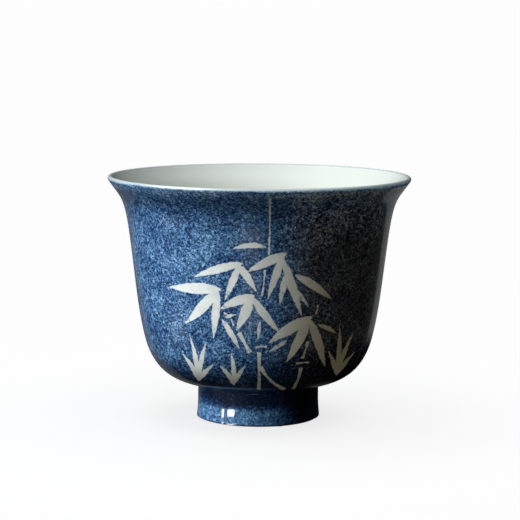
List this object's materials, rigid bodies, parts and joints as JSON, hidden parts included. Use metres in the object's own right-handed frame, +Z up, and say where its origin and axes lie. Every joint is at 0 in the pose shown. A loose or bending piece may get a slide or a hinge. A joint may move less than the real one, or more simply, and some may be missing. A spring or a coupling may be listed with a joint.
{
  "type": "teacup",
  "caption": "Flared handleless porcelain teacup on a foot ring, white inside, speckled blue outside with a white bamboo spray.",
  "frame": {"origin": "centre of the foot ring's underside, on the table", "axes": "+Z up along the cup's axis, -Y towards the bamboo on the front, +X to the right as seen from the front"},
  "size_m": [0.08, 0.08, 0.0644],
  "materials": {
    "clay": "bare fired white clay, matte",
    "blue_glaze": "glossy blue glaze with fine pale and dark speckles",
    "lip_glaze": "glossy white glaze",
    "white_glaze": "glossy white glaze, faintly green",
    "reserve_white": "glossy off-white left in the blue"
  },
  "bodies": {
    "root": {"clay_bowl": "clay", "clay_foot_ring": "clay", "speckled_coat": "blue_glaze", "foot_coat": "blue_glaze", "lip_glaze": "lip_glaze", "inner_glaze": "white_glaze", "base_glaze": "white_glaze", "main_stalk": "reserve_white", "branches": "reserve_white", "ground_stalks": "reserve_white", "top_leaves": "reserve_white", "upper_left_leaves": "reserve_white", "left_leaves": "reserve_white", "centre_leaves": "reserve_white", "right_leaves": "reserve_white", "loose_leaves": "reserve_white", "left_grass": "reserve_white", "middle_grass": "reserve_white", "right_grass": "reserve_white"}
  },
  "joints": []
}
